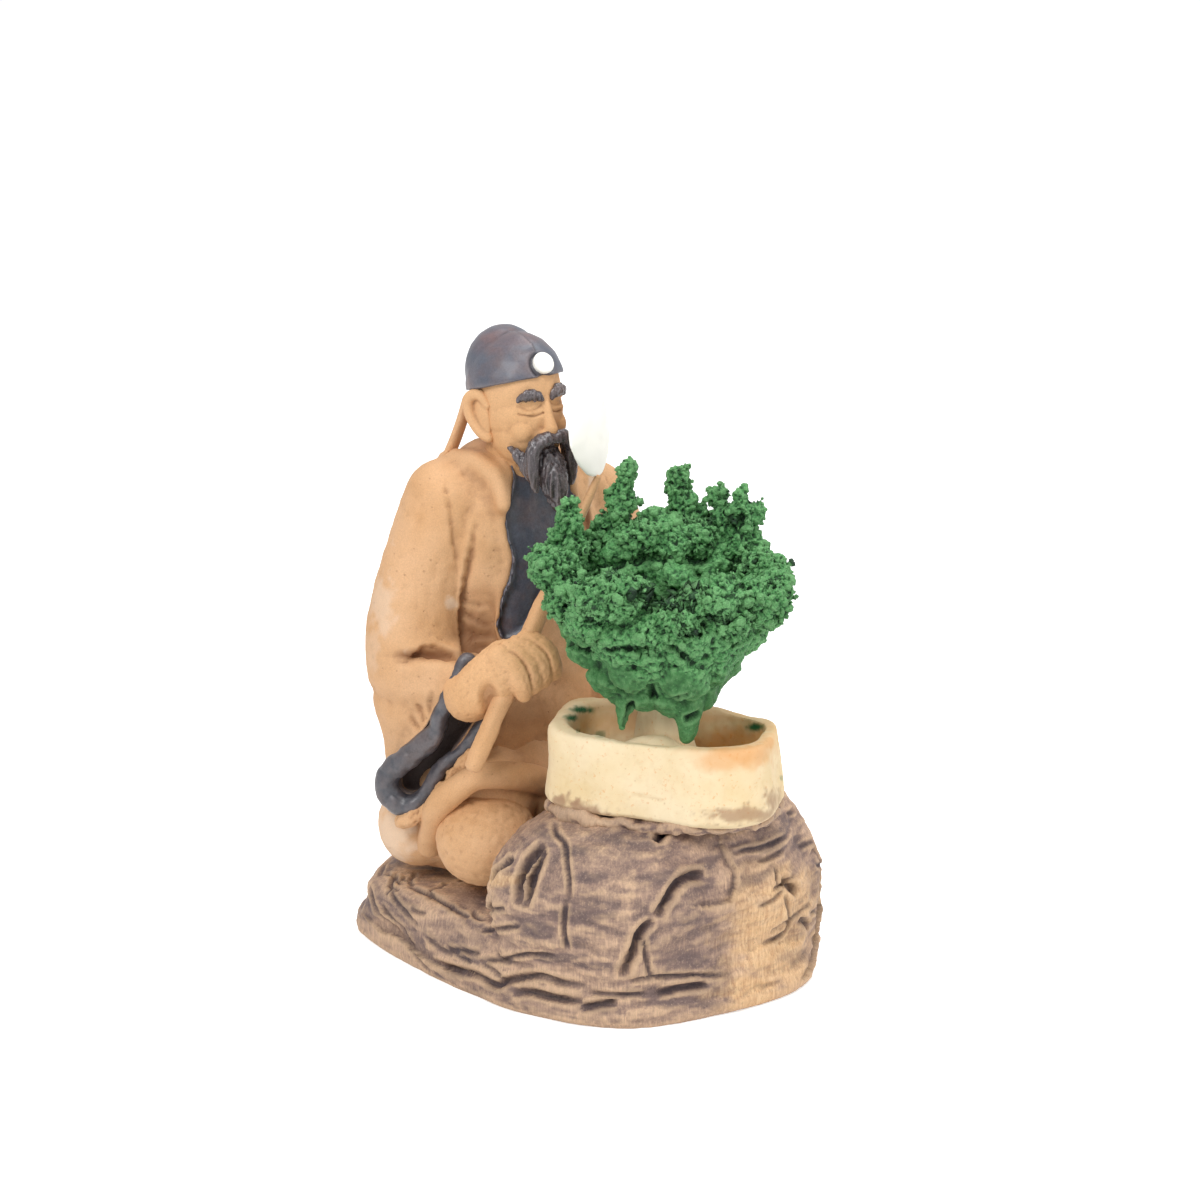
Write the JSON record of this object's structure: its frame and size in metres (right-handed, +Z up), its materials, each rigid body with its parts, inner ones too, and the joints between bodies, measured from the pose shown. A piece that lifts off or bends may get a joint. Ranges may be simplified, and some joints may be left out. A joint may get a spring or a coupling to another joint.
{
  "type": "ceramic figurine",
  "caption": "Hand-built clay figurine of a seated bearded sage in a robe and cap, holding a fan beside a dwarf tree in a pot on a rough rock.",
  "frame": {"origin": "on the table under the middle of the figurine's bounding box", "axes": "+Z up; -Y is the side that the rock's long face and the picture look from; +X is the end with the pot"},
  "size_m": [0.0752, 0.0648, 0.1006],
  "materials": {
    "painted_clay": "unglazed fired clay with a tan wash, matte",
    "pale_clay": "unglazed cream clay, matte, orange where the fire touched it",
    "rock_clay": "rough clay with a dark brown wash over tan, matte",
    "dark_glaze": "dark slip with a low satin sheen",
    "green_glaze": "green slip, satin",
    "white_glaze": "off-white slip, satin"
  },
  "bodies": {
    "root": {"bottom_slab": "rock_clay", "ledge": "rock_clay", "boulder": "rock_clay", "pot_pad": "rock_clay", "pot": "pale_clay", "trunk": "pale_clay", "foliage_core": "green_glaze", "tuft_left_spire": "green_glaze", "tuft_left_low": "green_glaze", "tuft_front_left": "green_glaze", "tuft_front": "green_glaze", "tuft_front_right": "green_glaze", "tuft_right_low": "green_glaze", "tuft_right_high": "green_glaze", "tuft_right_spire": "green_glaze", "tuft_back_spire": "green_glaze", "tuft_back_left_spire": "green_glaze", "tuft_back_left_low": "green_glaze", "tuft_inner": "green_glaze", "robe_body": "painted_clay", "robe_skirt": "painted_clay", "right_knee": "painted_clay", "left_knee": "painted_clay", "right_sleeve": "painted_clay", "left_sleeve": "painted_clay", "right_hand": "painted_clay", "left_hand": "painted_clay", "head": "painted_clay", "right_ear": "painted_clay", "left_ear": "painted_clay", "right_ribbon": "painted_clay", "left_ribbon": "painted_clay", "fan_handle": "painted_clay", "right_cuff": "dark_glaze", "left_cuff": "dark_glaze", "chest_panel": "dark_glaze", "cap": "dark_glaze", "right_brow": "dark_glaze", "left_brow": "dark_glaze", "right_moustache": "dark_glaze", "left_moustache": "dark_glaze", "right_whisker": "dark_glaze", "left_whisker": "dark_glaze", "beard": "dark_glaze", "cap_disc": "white_glaze", "fan_blade": "white_glaze"}
  },
  "joints": []
}
